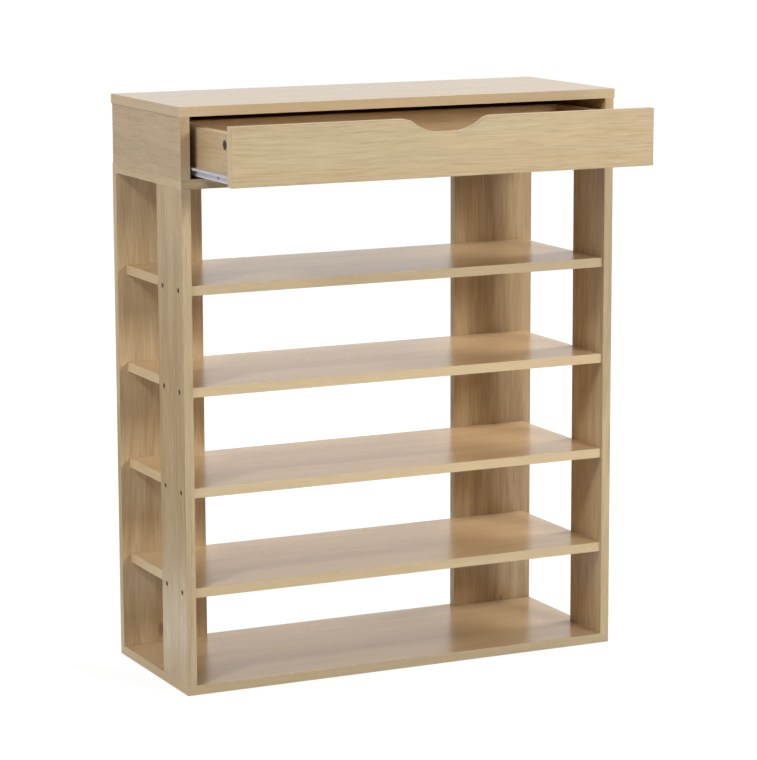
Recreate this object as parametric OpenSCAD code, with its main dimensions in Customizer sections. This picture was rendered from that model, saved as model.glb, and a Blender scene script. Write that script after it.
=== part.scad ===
// Shoe rack with one drawer, in laminated board.
// X runs to the right, Y to the back and Z up. The origin is the middle of the base panel's underside.

/* [Rack] */
// Width over the legs
rack_w = 750; // [560:10:1000]
// Depth from the front edges to the back of the rear legs
rack_d = 290; // [290:5:400]
// Height from the floor to the top of the top panel
rack_h = 915; // [880:5:1400]
// Thickness of the boards of the rack and its drawer case
board_t = 15; // [15:1:19]
// Clear height between the base panel and the lowest shelf
base_bay_h = 139; // [100:1:200]
// Clear height between the highest shelf and the drawer case
top_bay_h = 148.5; // [100:0.5:200]
// How far the shelves' front edges stand behind the front of the legs
shelf_setback = 5; // [0:1:15]
// Width of a front leg, along the depth of the rack
front_leg_w = 102; // [70:1:130]
// Width of a rear leg, along the width of the rack
rear_leg_w = 146; // [80:1:200]

/* [Drawer case] */
// Clear height of the drawer opening
opening_h = 95; // [92:1:140]
// How far the top panel stands out past each side
top_overhang = 2; // [0:0.5:20]
// Thickness of the back panel
back_t = 3; // [2:0.5:5]
// How far the back panel's edges stay inside the outline of the case
back_inset = 2; // [1:0.5:6]

/* [Drawer] */
// How far the drawer is drawn out at rest
drawer_open = 155; // [0:5:190]
// Thickness of the drawer front
front_t = 15; // [15:1:19]
// Gap between each end of the drawer front and the case side
front_side_gap = 2; // [1:0.5:3]
// Gap under the drawer front
front_low_gap = 1.5; // [1:0.5:4]
// Gap over the drawer front
front_high_gap = 3.5; // [1:0.5:8]
// Thickness of the drawer's sides and back
drawer_t = 15; // [14:1:18]
// Height of the drawer's sides
drawer_side_h = 73; // [65:1:80]
// Height of the drawer's sides above the case floor
drawer_lift = 5; // [4:0.5:7]
// Space left behind the closed drawer
drawer_rear_gap = 7; // [3:1:14]
// Thickness of the drawer's bottom panel
bottom_t = 3; // [3:0.5:5]
// Height of the bottom panel above the lower edge of the sides
bottom_lift = 10; // [8:1:14]
// Depth of the groove that holds the bottom panel
groove_depth = 5; // [4:0.5:7]
// Play of the bottom panel in its groove, on each side
groove_gap = 0.1; // [0.05:0.05:0.3]

/* [Finger scoop] */
// Width of the scoop at the top edge of the drawer front
scoop_w = 150; // [120:2:220]
// Depth of the scoop
scoop_d = 21.5; // [15:0.5:28]
// Length of the scoop's straight bottom
scoop_flat = 24; // [4:2:40]
// Radius of the scoop's rounded shoulders
shoulder_r = 25; // [8:1:35]

/* [Slides] */
// Length of each slide member
slide_len = 250; // [200:10:260]
// Width of the space for a slide beside the drawer
slide_space = 12.5; // [12.5:0.5:14]
// Thickness of the slide members' sheet
sheet_t = 1.2; // [1:0.1:1.5]
// Height of the case member's underside above the case floor
track_lift = 1.3; // [0.5:0.1:2]
// Clear height of the case member's track
track_h = 16.8; // [16:0.1:18]
// Width of the track's lower flange
track_w = 9.5; // [9:0.1:9.8]
// Width of the track's upper flange
track_cover_w = 7; // [6:0.5:7.5]
// Height of the track's lip above its lower flange
track_lip_h = 2.5; // [1.5:0.5:3]
// Height of the drawer member
rail_h = 13.5; // [13:0.1:14]
// Width of the drawer member's upper flange
rail_w = 9; // [8.5:0.1:9.5]
// Height of the drawer member's outer lip
rail_lip_h = 3.3; // [2:0.1:3.5]
// Width of the drawer member's flange under the drawer side
rail_foot_w = 12; // [10:1:13]
// Distance from a slide member's end to its roller's axis
roller_inset = 9; // [9:0.5:12]
// Space behind the drawer front before the case member starts
slide_start_gap = 3; // [1:0.5:5]
// Space between the drawer front and the drawer member
rail_start_gap = 1; // [0.5:0.5:2]

/* [Rollers] */
// Diameter of the front rollers on the case members
front_roller_d = 12; // [11:0.5:12.5]
// Width of a roller
roller_w = 4.8; // [4:0.1:5]
// Gap between a roller and the track it runs on
roller_gap = 0.3; // [0.2:0.05:0.4]
// Rounding of a roller's edges
roller_round = 0.8; // [0.4:0.1:1.2]
// Diameter of a roller's pin
pin_d = 4; // [3:0.5:5]
// Radial play of a roller on its pin
pin_play = 0.06; // [0.03:0.01:0.1]
// Diameter of a pin's shoulder and head
pin_head_d = 6; // [5.5:0.5:7]
// Thickness of a pin's head
pin_head_t = 0.8; // [0.6:0.1:1]
// Side play of a roller between its pin's shoulder and head
roller_side_play = 0.15; // [0.1:0.05:0.3]
// Distance from a pin's head to the sheet that passes it
pin_pass_gap = 0.5; // [0.4:0.1:0.8]

/* [Panel screws] */
// Length of a panel screw
screw_len = 50; // [40:1:60]
// Diameter of a panel screw's head
screw_head_d = 9; // [8:0.5:10]
// Diameter of the smooth neck under the head
screw_neck_d = 6.4; // [6:0.2:7]
// Length of head and neck together
screw_neck_len = 14; // [10:1:15]
// Diameter of the threaded part
screw_core_d = 5; // [4:0.2:5.6]
// How deep the heads lie below the surface
screw_sink = 0.8; // [0.3:0.1:1.2]
// Width across the flats of the hexagon socket
socket_w = 4; // [3:0.5:5]
// Depth of the hexagon socket
socket_depth = 3; // [2:0.5:4]
// Radial room of every fastener in its hole
hole_gap = 0.05; // [0.03:0.01:0.15]
// Distance from the edges of a front leg to its screws
front_screw_inset = 19; // [12:1:28]
// Distance from the edges of a rear leg to its screws
rear_screw_inset = 32; // [15:1:36]
// Least distance behind the front leg of the first screw of a case side
side_screw_room = 10; // [8:1:20]

/* [Cam locks and dowels] */
// Diameter of a cam lock
cam_d = 15; // [12:1:16]
// Depth of a cam lock
cam_depth = 12.5; // [10:0.5:13.5]
// Distance from the board's end to the middle of a cam lock
cam_reach = 34; // [30:1:36]
// Diameter of a cam bolt's shank
bolt_d = 6; // [5:0.5:7]
// Diameter of a cam bolt's neck inside the lock
bolt_neck_d = 4; // [3:0.5:4.5]
// Diameter of a cam bolt's head
bolt_head_d = 7; // [6.5:0.1:7.4]
// Diameter of the channel for a cam bolt
bolt_hole_d = 8; // [7.8:0.1:9]
// How deep bolts and dowels go into the face of a board
face_depth = 10; // [8:0.5:12]
// Distance from the case side's front and back edges to its cam locks
case_cam_inset = 44; // [30:1:60]
// Distance from a cam lock of the case to the dowel beside it
case_dowel_pitch = 32; // [20:1:40]
// Distance from the drawer side's upper edge to its cam lock
drawer_cam_drop = 17; // [14:1:22]
// Distance from a drawer side's cam bolt down to its dowel
drawer_dowel_drop = 33; // [20:1:33]
// Diameter of a dowel
dowel_d = 8; // [6:1:8]
// Length of a dowel
dowel_len = 30; // [25:1:35]
// Distance from the drawer back's edges to its screws
drawer_screw_inset = 14; // [12:1:20]

/* [Slide screws] */
// Length of a slide screw
slide_screw_len = 12; // [10:1:13]
// Diameter of a slide screw
slide_screw_d = 3; // [2.5:0.1:3.5]
// Diameter of a slide screw's head
slide_screw_head_d = 6.4; // [5:0.1:7]
// Width of the cross slot in a small head
cross_w = 1; // [0.6:0.1:1.4]
// Distance from a slide member's front end to its first screw
slide_screw_first = 57; // [30:1:70]
// Distance between a slide member's screws
slide_screw_pitch = 64; // [50:1:64]

/* [Back nails] */
// Length of a back panel nail
nail_len = 20; // [15:1:25]
// Diameter of a nail
nail_d = 1.6; // [1.2:0.1:2]
// Diameter of a nail's head
nail_head_d = 3.6; // [3:0.1:5]
// Thickness of a nail's head
nail_head_t = 0.8; // [0.5:0.1:1.2]
// Distance from the ends of a row of nails to the corners of the back panel
nail_inset = 24; // [15:1:40]

/* [Hidden] */

oak = [0.80, 0.71, 0.56];
oak_shade = [0.70, 0.59, 0.43];
fibreboard = [0.66, 0.55, 0.42];
coated_steel = [0.86, 0.87, 0.89];
zinc = [0.62, 0.63, 0.65];
nylon = [0.93, 0.93, 0.90];
dowel_wood = [0.84, 0.72, 0.52];

round_fn = 48;
// Length by which a cutting shape passes the face it opens
cut_over = 1;
both_sides = [-1, 1];
levels = [0, 1, 2, 3];
// Chamfer at the ends of cam bolts and dowels
end_cut = 1;
// Straight rim of a countersunk head
screw_rim = 0.6;

// Places along X, Y and Z that several boards share
half_w = rack_w / 2;
front_y = -rack_d / 2;
back_y = rack_d / 2;
leg_front_y = back_y - board_t;
case_back_y = back_y - back_t;
rear_leg_x = half_w - rear_leg_w;
inner_x = half_w - board_t;
top_z = rack_h - board_t;
opening_z = top_z - opening_h;
case_z = opening_z - board_t;
leg_mid_x = half_w - board_t / 2;
leg_mid_y = back_y - board_t / 2;
case_floor_mid_z = case_z + board_t / 2;

// Underside of the shelf at a level, counted from 0 at the lowest. The shelves between share the height left.
low_shelf_z = board_t + base_bay_h;
high_shelf_z = case_z - top_bay_h - board_t;
shelf_pitch = (high_shelf_z - low_shelf_z) / (len(levels) - 1);
function shelf_z(level) = low_shelf_z + level * shelf_pitch;

// The drawer, drawn out by drawer_open
drawer_y = front_y - drawer_open;
drawer_half = inner_x - slide_space;
drawer_inner = drawer_half - drawer_t;
drawer_side_y = drawer_y + front_t;
drawer_side_len = case_back_y - drawer_rear_gap - front_y - front_t;
drawer_end_y = drawer_side_y + drawer_side_len;
drawer_z = opening_z + drawer_lift;
drawer_top_z = drawer_z + drawer_side_h;
drawer_back_z = drawer_z + bottom_lift + bottom_t + groove_gap;
front_half = inner_x - front_side_gap;
front_z = opening_z + front_low_gap;
front_h = opening_h - front_low_gap - front_high_gap;
side_mid_x = drawer_half - drawer_t / 2;
drawer_cam_z = drawer_top_z - drawer_cam_drop;

// The slides and rollers
track_z = opening_z + track_lift;
track_floor_z = track_z + sheet_t;
track_y = front_y + front_t + slide_start_gap;
rail_z = drawer_z - sheet_t;
rail_y = drawer_side_y + rail_start_gap;
front_roller_y = track_y + roller_inset;
front_roller_z = rail_z + rail_h - sheet_t - roller_gap - front_roller_d / 2;
rear_roller_d = track_h - 2 * roller_gap;
rear_roller_y = rail_y + slide_len - roller_inset;
rear_roller_z = track_floor_z + track_h / 2;
// Room along Y that a flange or lip leaves around the roller at a member's end
roller_room = roller_inset + rear_roller_d / 2 + cut_over;

// Screw places
front_screw_ys = [front_y + front_screw_inset, front_y + front_leg_w - front_screw_inset];
rear_screw_xs = [half_w - rear_screw_inset, rear_leg_x + rear_screw_inset];
case_cam_ys = [front_y + case_cam_inset, case_back_y - case_cam_inset];
case_dowel_ys = [case_cam_ys[0] + case_dowel_pitch, case_cam_ys[1] - case_dowel_pitch];
case_cam_z = top_z - cam_reach;
slide_screw_steps = [0, 1, 2];
// The drawer member leaves its middle hole out
rail_screw_steps = [0, 2];
// The screws of a case side pass halfway between those of its slide, the first of them behind the front leg
slide_screw_y = track_y + slide_screw_first;
side_screw_least = front_y + front_leg_w + side_screw_room;
side_screw_step = ceil((side_screw_least - slide_screw_y) / slide_screw_pitch - 0.5) + 0.5;
side_screw_ys = [for (step = [0, 1]) slide_screw_y + (side_screw_step + step) * slide_screw_pitch];

module box(low, high) {
    translate(low)
        cube(high - low);
}

// Draws for the right-hand side, mirrored for the left
module on_side(side) {
    mirror([side < 0 ? 1 : 0, 0, 0])
        children();
}

// Extrudes an X-Z outline along Y
module along_y(from, length) {
    translate([0, from + length, 0])
        rotate([90, 0, 0])
            linear_extrude(length)
                children();
}

// Turned forms, all with the head's face at the origin and the tip along -Z

// Outline of a countersunk screw
function screw_outline(head, neck, core, neck_len, len, room, rise) = [
    [0, rise],
    [head / 2 + room, rise],
    [head / 2 + room, -screw_rim],
    [neck / 2 + room, -screw_rim - (head - neck) / 2],
    [neck / 2 + room, -neck_len],
    [core / 2 + room, -neck_len],
    [core / 2 + room, -len + core / 2 - room],
    [0, -len - room]
];

module panel_screw() {
    outline = screw_outline(screw_head_d, screw_neck_d, screw_core_d, screw_neck_len, screw_len, 0, 0);
    translate([0, 0, -screw_sink])
        difference() {
            rotate_extrude($fn = round_fn)
                polygon(outline);
            translate([0, 0, -socket_depth])
                cylinder(d = socket_w / cos(30), h = socket_depth + cut_over, $fn = 6);
        }
}

module panel_screw_hole() {
    outline = screw_outline(
        screw_head_d, screw_neck_d, screw_core_d, screw_neck_len, screw_len, hole_gap, screw_sink + cut_over
    );
    translate([0, 0, -screw_sink])
        rotate_extrude($fn = round_fn)
            polygon(outline);
}

module slide_screw() {
    outline = screw_outline(
        slide_screw_head_d, slide_screw_d, slide_screw_d, slide_screw_len / 2, slide_screw_len, 0, 0
    );
    difference() {
        rotate_extrude($fn = round_fn)
            polygon(outline);
        for (turn = [0, 90])
            rotate([0, 0, turn])
                translate([-slide_screw_d / 2, -cross_w / 2, -cross_w])
                    cube([slide_screw_d, cross_w, cross_w + cut_over]);
    }
}

module slide_screw_hole() {
    outline = screw_outline(
        slide_screw_head_d, slide_screw_d, slide_screw_d, slide_screw_len / 2, slide_screw_len,
        hole_gap, cut_over
    );
    rotate_extrude($fn = round_fn)
        polygon(outline);
}

// A cam lock with its face at the origin, and its bolt's channel towards +X
module cam_lock() {
    difference() {
        translate([0, 0, -cam_depth])
            cylinder(d = cam_d, h = cam_depth, $fn = round_fn);
        translate([-bolt_head_d / 2, 0, -cam_bolt_depth])
            rotate([0, 90, 0])
                cylinder(d = bolt_hole_d, h = cam_d, $fn = round_fn);
        for (turn = [0, 90])
            rotate([0, 0, turn])
                translate([-cam_d / 4, -cross_w / 2, -cross_w])
                    cube([cam_d / 2, cross_w, cross_w + cut_over]);
    }
}
// Depth of a cam bolt's axis below the face of its lock
cam_bolt_depth = board_t / 2;

module cam_hole() {
    translate([0, 0, -cam_depth - hole_gap])
        cylinder(d = cam_d + 2 * hole_gap, h = cam_depth + hole_gap + cut_over, $fn = round_fn);
}

// A cam bolt that stands along -Z from the face that it is screwed into
module cam_bolt() {
    translate([0, 0, -cam_reach])
        rotate_extrude($fn = round_fn)
            polygon([
                [0, -bolt_neck_d / 2],
                [bolt_head_d / 2 - end_cut, -bolt_neck_d / 2],
                [bolt_head_d / 2, end_cut - bolt_neck_d / 2],
                [bolt_head_d / 2, bolt_neck_d / 2 - end_cut],
                [bolt_neck_d / 2, bolt_neck_d / 2],
                [bolt_neck_d / 2, cam_d / 2],
                [bolt_d / 2, cam_d / 2 + end_cut],
                [bolt_d / 2, cam_reach + face_depth - end_cut],
                [bolt_d / 2 - end_cut, cam_reach + face_depth],
                [0, cam_reach + face_depth]
            ]);
}

module cam_bolt_face_hole() {
    translate([0, 0, -cut_over])
        cylinder(d = bolt_d + 2 * hole_gap, h = face_depth + hole_gap + cut_over, $fn = round_fn);
}

module cam_bolt_end_hole() {
    translate([0, 0, -cam_reach])
        cylinder(d = bolt_hole_d, h = cam_reach + cut_over, $fn = round_fn);
}

// A dowel whose longer part stands along -Z from the face of a board
module dowel() {
    translate([0, 0, face_depth - dowel_len])
        rotate_extrude($fn = round_fn)
            polygon([
                [0, 0],
                [dowel_d / 2 - end_cut, 0],
                [dowel_d / 2, end_cut],
                [dowel_d / 2, dowel_len - end_cut],
                [dowel_d / 2 - end_cut, dowel_len],
                [0, dowel_len]
            ]);
}

module dowel_hole() {
    translate([0, 0, face_depth - dowel_len - hole_gap])
        cylinder(d = dowel_d + 2 * hole_gap, h = dowel_len + 2 * hole_gap, $fn = round_fn);
}

module nail() {
    rotate_extrude($fn = round_fn)
        polygon([
            [0, 0],
            [nail_head_d / 2, 0],
            [nail_head_d / 2, -nail_head_t],
            [nail_d / 2, -nail_head_t],
            [nail_d / 2, -nail_len + nail_d],
            [0, -nail_len]
        ]);
}

module nail_hole() {
    translate([0, 0, -nail_head_t - hole_gap])
        cylinder(d = nail_head_d + 2 * hole_gap, h = nail_head_t + hole_gap + cut_over, $fn = round_fn);
    translate([0, 0, -nail_len - hole_gap])
        cylinder(d = nail_d + 2 * hole_gap, h = nail_len, $fn = round_fn);
}

// Places of the fasteners: each one turns its child so that the tip points into the boards

module front_leg_places(sides = both_sides, at_levels = levels) {
    for (side = sides, level = at_levels, y = front_screw_ys)
        translate([side * half_w, y, shelf_z(level) + board_t / 2])
            rotate([0, side * 90, 0])
                children();
}

module rear_leg_places(sides = both_sides, heights) {
    for (side = sides, x = rear_screw_xs, z = heights)
        translate([side * x, back_y, z])
            rotate([-90, 0, 0])
                children();
}

function shelf_mids(at_levels = levels) = [for (level = at_levels) shelf_z(level) + board_t / 2];

module base_places(sides = both_sides) {
    for (side = sides, y = front_screw_ys)
        translate([side * leg_mid_x, y, 0])
            rotate([180, 0, 0])
                children();
    for (side = sides, x = rear_screw_xs)
        translate([side * x, leg_mid_y, 0])
            rotate([180, 0, 0])
                children();
}

module case_floor_places(sides = both_sides) {
    for (side = sides, y = front_screw_ys)
        translate([side * leg_mid_x, y, opening_z])
            children();
}

module case_side_places(sides = both_sides) {
    for (side = sides, y = side_screw_ys)
        translate([side * leg_mid_x, y, case_z])
            rotate([180, 0, 0])
                children();
}

// Cam locks lie in the inner faces of the case sides, with their channels up
module case_cam_places(sides = both_sides) {
    for (side = sides, y = case_cam_ys)
        on_side(side)
            translate([inner_x, y, case_cam_z])
                rotate([0, -90, 0])
                    children();
}

module case_bolt_places(sides = both_sides) {
    for (side = sides, y = case_cam_ys)
        translate([side * leg_mid_x, y, top_z])
            children();
}

module case_dowel_places(sides = both_sides) {
    for (side = sides, y = case_dowel_ys)
        translate([side * leg_mid_x, y, top_z])
            children();
}

// Cam locks lie in the outer faces of the drawer sides, with their channels to the front
module drawer_cam_places(sides = both_sides) {
    for (side = sides)
        on_side(side)
            translate([drawer_half, drawer_side_y + cam_reach, drawer_cam_z])
                rotate([0, 90, 0])
                    rotate([0, 0, -90])
                        children();
}

module drawer_bolt_places(sides = both_sides) {
    for (side = sides)
        translate([side * side_mid_x, drawer_side_y, drawer_cam_z])
            rotate([90, 0, 0])
                children();
}

module drawer_dowel_places(sides = both_sides) {
    for (side = sides)
        translate([side * side_mid_x, drawer_side_y, drawer_cam_z - drawer_dowel_drop])
            rotate([90, 0, 0])
                children();
}

module drawer_back_places(sides = both_sides) {
    for (side = sides, z = [drawer_back_z + drawer_screw_inset, drawer_top_z - drawer_screw_inset])
        translate([side * drawer_half, drawer_end_y - drawer_t / 2, z])
            rotate([0, side * 90, 0])
                children();
}

module case_slide_places(sides = both_sides) {
    for (side = sides, step = slide_screw_steps)
        on_side(side)
            translate([inner_x - sheet_t, slide_screw_y + step * slide_screw_pitch, rear_roller_z])
                rotate([0, -90, 0])
                    children();
}

module drawer_slide_places(sides = both_sides) {
    for (side = sides, step = rail_screw_steps)
        on_side(side)
            translate([drawer_half + sheet_t, rail_screw_y + step * slide_screw_pitch, rail_screw_z])
                rotate([0, 90, 0])
                    children();
}
// The drawer slides' screws, in the middle of the flat stretch of the sheet
rail_screw_y = rail_y + slide_screw_first;
rail_screw_z = rail_z + (rail_h - sheet_t) / 2;

// Nails go into the case sides and, in the middle and towards both ends, into the top panel
module nail_places() {
    side_nail_zs = [opening_z + nail_inset, top_z - nail_inset];
    top_nail_xs = [nail_inset - inner_x, 0, inner_x - nail_inset];
    for (side = both_sides, z = side_nail_zs)
        translate([side * leg_mid_x, back_y, z])
            rotate([-90, 0, 0])
                children();
    for (x = top_nail_xs)
        translate([x, back_y, top_z + board_t / 2])
            rotate([-90, 0, 0])
                children();
}

// Boards of the rack

module base_panel() {
    color(oak)
        difference() {
            box([-half_w, front_y, 0], [half_w, back_y, board_t]);
            base_places()
                panel_screw_hole();
        }
}

module shelf(level) {
    z = shelf_z(level);
    color(oak)
        difference() {
            box([-inner_x, front_y + shelf_setback, z], [inner_x, leg_front_y, z + board_t]);
            front_leg_places(at_levels = [level])
                panel_screw_hole();
            rear_leg_places(heights = shelf_mids([level]))
                panel_screw_hole();
        }
}

module front_leg(side) {
    color(oak_shade)
        difference() {
            on_side(side)
                box([inner_x, front_y, board_t], [half_w, front_y + front_leg_w, case_z]);
            front_leg_places([side])
                panel_screw_hole();
            base_places([side])
                panel_screw_hole();
            case_floor_places([side])
                panel_screw_hole();
        }
}

module rear_leg(side) {
    color(oak_shade)
        difference() {
            on_side(side)
                box([rear_leg_x, leg_front_y, board_t], [half_w, back_y, opening_z]);
            rear_leg_places([side], shelf_mids())
                panel_screw_hole();
            rear_leg_places([side], [case_floor_mid_z])
                panel_screw_hole();
            base_places([side])
                panel_screw_hole();
        }
}

// Boards of the drawer case

module case_floor() {
    color(oak)
        difference() {
            box([-half_w, front_y, case_z], [half_w, case_back_y, opening_z]);
            for (side = both_sides)
                on_side(side)
                    box(
                        [rear_leg_x, leg_front_y, case_z - cut_over],
                        [half_w + cut_over, case_back_y + cut_over, opening_z + cut_over]
                    );
            rear_leg_places(heights = [case_floor_mid_z])
                panel_screw_hole();
            case_floor_places()
                panel_screw_hole();
            case_side_places()
                panel_screw_hole();
        }
}

module case_side(side) {
    color(oak)
        difference() {
            on_side(side)
                box([inner_x, front_y, opening_z], [half_w, case_back_y, top_z]);
            case_side_places([side])
                panel_screw_hole();
            case_cam_places([side])
                cam_hole();
            case_bolt_places([side])
                cam_bolt_end_hole();
            case_dowel_places([side])
                dowel_hole();
            case_slide_places([side])
                slide_screw_hole();
            nail_places()
                nail_hole();
        }
}

module top_panel() {
    color(oak)
        difference() {
            box(
                [-half_w - top_overhang, front_y, top_z],
                [half_w + top_overhang, case_back_y, top_z + board_t]
            );
            case_bolt_places()
                cam_bolt_face_hole();
            case_dowel_places()
                dowel_hole();
            nail_places()
                nail_hole();
        }
}

module case_back() {
    color(fibreboard)
        difference() {
            box(
                [back_inset - half_w, case_back_y, opening_z],
                [half_w - back_inset, back_y, top_z + board_t - back_inset]
            );
            nail_places()
                nail_hole();
        }
}

// The drawer

// The scoop is a flat bottom, two wide arcs and two rounded shoulders that meet them without a corner
front_top_z = front_z + front_h;
scoop_run = (scoop_w - scoop_flat) / 2;
scoop_turn = 2 * atan(scoop_d / scoop_run);
bowl_r = scoop_run / sin(scoop_turn) - shoulder_r;
bowl_z = front_top_z - scoop_d + bowl_r;
// Where the wide arc passes into the shoulder
meet_x = scoop_flat / 2 + bowl_r * sin(scoop_turn);
meet_z = bowl_z - bowl_r * cos(scoop_turn);

module scoop_outline() {
    difference() {
        union() {
            translate([-scoop_flat / 2, front_top_z - scoop_d])
                square([scoop_flat, scoop_d + cut_over]);
            intersection() {
                for (side = both_sides)
                    translate([side * scoop_flat / 2, bowl_z])
                        circle(r = bowl_r, $fn = 2 * round_fn);
                translate([-meet_x, front_top_z - 2 * scoop_d])
                    square([2 * meet_x, 2 * scoop_d + meet_z - front_top_z]);
            }
            translate([-scoop_w / 2, meet_z])
                square([scoop_w, front_top_z + cut_over - meet_z]);
        }
        for (side = both_sides)
            translate([side * scoop_w / 2, front_top_z - shoulder_r])
                circle(r = shoulder_r, $fn = 2 * round_fn);
    }
}

module drawer_front() {
    color(oak)
        difference() {
            box([-front_half, drawer_y, front_z], [front_half, drawer_side_y, front_top_z]);
            along_y(drawer_y - cut_over, front_t + 2 * cut_over)
                scoop_outline();
            bottom_groove();
            drawer_bolt_places()
                cam_bolt_face_hole();
            drawer_dowel_places()
                dowel_hole();
        }
}

// Room for the bottom panel in the drawer front and sides
module bottom_groove() {
    low = drawer_z + bottom_lift - groove_gap;
    box(
        [-drawer_inner - groove_depth, drawer_side_y - groove_depth, low],
        [drawer_inner + groove_depth, drawer_end_y + cut_over, low + bottom_t + 2 * groove_gap]
    );
}

module drawer_side(side) {
    color(oak)
        difference() {
            on_side(side)
                box([drawer_inner, drawer_side_y, drawer_z], [drawer_half, drawer_end_y, drawer_top_z]);
            bottom_groove();
            drawer_cam_places([side])
                cam_hole();
            drawer_bolt_places([side])
                cam_bolt_end_hole();
            drawer_dowel_places([side])
                dowel_hole();
            drawer_back_places([side])
                panel_screw_hole();
            drawer_slide_places([side])
                slide_screw_hole();
        }
}

module drawer_back() {
    color(oak_shade)
        difference() {
            box(
                [-drawer_inner, drawer_end_y - drawer_t, drawer_back_z],
                [drawer_inner, drawer_end_y, drawer_top_z]
            );
            drawer_back_places()
                panel_screw_hole();
        }
}

module drawer_bottom() {
    reach = groove_depth - groove_gap;
    color(fibreboard)
        box(
            [-drawer_inner - reach, drawer_side_y - reach, drawer_z + bottom_lift],
            [drawer_inner + reach, drawer_end_y, drawer_z + bottom_lift + bottom_t]
        );
}

// The slides

// The case member is a track: a web on the case side, a lower flange with a lip, and an upper flange.
// Its lip and upper flange stop short of the front roller.
module case_slide(side) {
    track_x = inner_x - sheet_t;
    lip_x = inner_x - track_w;
    color(coated_steel)
        difference() {
            on_side(side) {
                along_y(track_y, slide_len) {
                    translate([track_x, track_z])
                        square([sheet_t, track_h + 2 * sheet_t]);
                    translate([lip_x, track_z])
                        square([track_w, sheet_t]);
                }
                along_y(track_y + roller_room, slide_len - roller_room) {
                    translate([lip_x, track_z])
                        square([sheet_t, sheet_t + track_lip_h]);
                    translate([inner_x - track_cover_w, track_floor_z + track_h])
                        square([track_cover_w, sheet_t]);
                }
            }
            case_slide_places([side])
                slide_screw_hole();
            case_pin_places([side])
                pin_hole();
        }
}

// The drawer member is a rail: a foot under the drawer side, a web, and an upper flange with a lip
// that runs over the front roller. Its upper flange stops short of its own roller.
module drawer_slide(side) {
    color(coated_steel)
        difference() {
            on_side(side) {
                along_y(rail_y, slide_len) {
                    translate([drawer_half, rail_z])
                        square([sheet_t, rail_h]);
                    translate([drawer_half - rail_foot_w, rail_z])
                        square([rail_foot_w + sheet_t, sheet_t]);
                }
                along_y(rail_y, slide_len - roller_room) {
                    translate([drawer_half, rail_z + rail_h - sheet_t])
                        square([rail_w, sheet_t]);
                    translate([drawer_half + rail_w - sheet_t, rail_z + rail_h - rail_lip_h])
                        square([sheet_t, rail_lip_h]);
                }
            }
            drawer_slide_places([side])
                slide_screw_hole();
            drawer_pin_places([side])
                pin_hole();
        }
}

// Each pin starts at the sheet that carries it and reaches across, less the gap to the sheet that passes it
pin_reach = slide_space - 2 * sheet_t - pin_pass_gap;
pin_journal = roller_w + 2 * roller_side_play;
pin_shoulder = pin_reach - pin_head_t - pin_journal;

// A pin along +Z from the face of its sheet, riveted through the sheet
module roller_pin() {
    rotate_extrude($fn = round_fn)
        polygon([
            [0, -sheet_t],
            [pin_d / 2, -sheet_t],
            [pin_d / 2, 0],
            [pin_head_d / 2, 0],
            [pin_head_d / 2, pin_shoulder],
            [pin_d / 2, pin_shoulder],
            [pin_d / 2, pin_shoulder + pin_journal],
            [pin_head_d / 2, pin_shoulder + pin_journal],
            [pin_head_d / 2, pin_reach],
            [0, pin_reach]
        ]);
}

module pin_hole() {
    translate([0, 0, -sheet_t - cut_over])
        cylinder(d = pin_d + 2 * hole_gap, h = sheet_t + 2 * cut_over, $fn = round_fn);
}

module roller(d) {
    bore_r = pin_d / 2 + pin_play;
    translate([0, 0, pin_shoulder + roller_side_play])
        rotate_extrude($fn = round_fn)
            polygon([
                [bore_r, 0],
                [d / 2 - roller_round, 0],
                [d / 2, roller_round],
                [d / 2, roller_w - roller_round],
                [d / 2 - roller_round, roller_w],
                [bore_r, roller_w]
            ]);
}

module case_pin_places(sides = both_sides) {
    for (side = sides)
        on_side(side)
            translate([inner_x - sheet_t, front_roller_y, front_roller_z])
                rotate([0, -90, 0])
                    children();
}

module drawer_pin_places(sides = both_sides) {
    for (side = sides)
        on_side(side)
            translate([drawer_half + sheet_t, rear_roller_y, rear_roller_z])
                rotate([0, 90, 0])
                    children();
}

module case_roller(side) {
    color(nylon)
        case_pin_places([side])
            roller(front_roller_d);
}

module drawer_roller(side) {
    color(nylon)
        drawer_pin_places([side])
            roller(rear_roller_d);
}

module case_roller_pins() {
    color(zinc)
        case_pin_places()
            roller_pin();
}

module drawer_roller_pins() {
    color(zinc)
        drawer_pin_places()
            roller_pin();
}

// Fasteners, each kind in one group

module front_leg_screws() {
    color(zinc)
        front_leg_places()
            panel_screw();
}

module rear_leg_screws() {
    color(zinc)
        rear_leg_places(heights = concat(shelf_mids(), [case_floor_mid_z]))
            panel_screw();
}

module base_screws() {
    color(zinc)
        base_places()
            panel_screw();
}

module case_floor_screws() {
    color(zinc)
        case_floor_places()
            panel_screw();
}

module case_side_screws() {
    color(zinc)
        case_side_places()
            panel_screw();
}

module case_cam_locks() {
    color(zinc)
        case_cam_places()
            cam_lock();
}

module case_cam_bolts() {
    color(zinc)
        case_bolt_places()
            cam_bolt();
}

module case_dowels() {
    color(dowel_wood)
        case_dowel_places()
            dowel();
}

module drawer_cam_locks() {
    color(zinc)
        drawer_cam_places()
            cam_lock();
}

module drawer_cam_bolts() {
    color(zinc)
        drawer_bolt_places()
            cam_bolt();
}

module drawer_dowels() {
    color(dowel_wood)
        drawer_dowel_places()
            dowel();
}

module drawer_back_screws() {
    color(zinc)
        drawer_back_places()
            panel_screw();
}

module case_slide_screws() {
    color(zinc)
        case_slide_places()
            slide_screw();
}

module drawer_slide_screws() {
    color(zinc)
        drawer_slide_places()
            slide_screw();
}

module back_nails() {
    color(zinc)
        nail_places()
            nail();
}

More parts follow.
